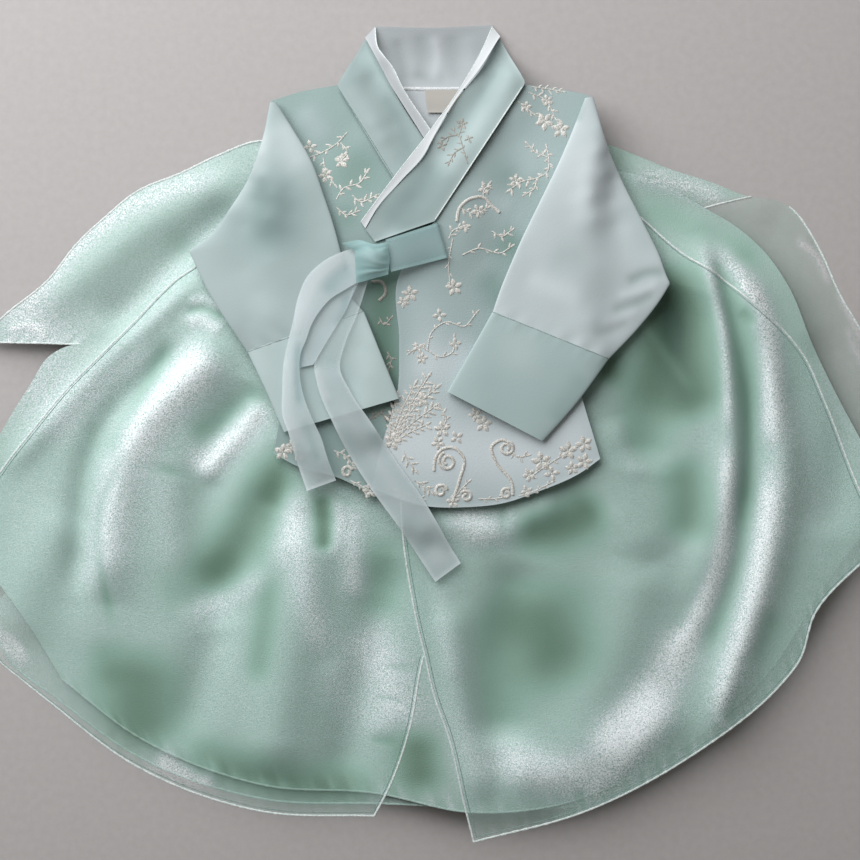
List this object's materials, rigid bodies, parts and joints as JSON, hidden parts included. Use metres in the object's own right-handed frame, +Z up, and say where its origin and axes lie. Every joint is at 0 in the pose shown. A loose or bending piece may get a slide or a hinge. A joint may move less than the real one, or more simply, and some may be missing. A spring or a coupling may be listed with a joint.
{
  "type": "baby hanbok of jacket and skirt, laid flat",
  "caption": "Baby's Korean hanbok laid flat: a short mint jacket with folded sleeves, crossed collar and ribbon tie, lying on a widely spread sheer organza skirt.",
  "frame": {"origin": "under the middle of the laid garment, on the surface it lies on", "axes": "+X to the right of the garment as it is seen from above, +Y towards its collar, +Z up"},
  "size_m": [0.7096, 0.616, 0.0518],
  "materials": {
    "mint_organza": "satin-faced organza with a fine sparkling grain",
    "sheer_organza": "sheer crisp organza with rolled hems",
    "embroidered_mint": "sheer mint cloth over a pale lining, embroidered with vines",
    "pale_mint": "matt pale mint cloth",
    "white_lining": "fine white woven cloth",
    "aqua_ribbon": "translucent aqua ribbon",
    "label_cotton": "plain cream cotton tape"
  },
  "bodies": {
    "root": {"chima_inner_layers": "mint_organza", "chima_underskirt": "sheer_organza", "chima_left_wing": "mint_organza", "chima_right_wing": "sheer_organza", "chima_main": "mint_organza", "chima_front_left": "sheer_organza", "chima_front_right": "sheer_organza", "chima_waistband": "mint_organza", "jeogori_back": "embroidered_mint", "collar_back": "white_lining", "neck_lining": "white_lining", "size_label": "label_cotton", "jeogori_under_front": "embroidered_mint", "collar_under": "pale_mint", "dongjeong_under": "white_lining", "jeogori_over_front": "embroidered_mint", "collar_over": "pale_mint", "dongjeong_over": "white_lining", "sleeve_left": "pale_mint", "cuff_left": "pale_mint", "sleeve_right": "pale_mint", "cuff_right": "pale_mint", "goreum_long_tail": "aqua_ribbon", "goreum_short_tail": "aqua_ribbon", "goreum_loop": "aqua_ribbon", "goreum_knot": "aqua_ribbon"}
  },
  "joints": []
}
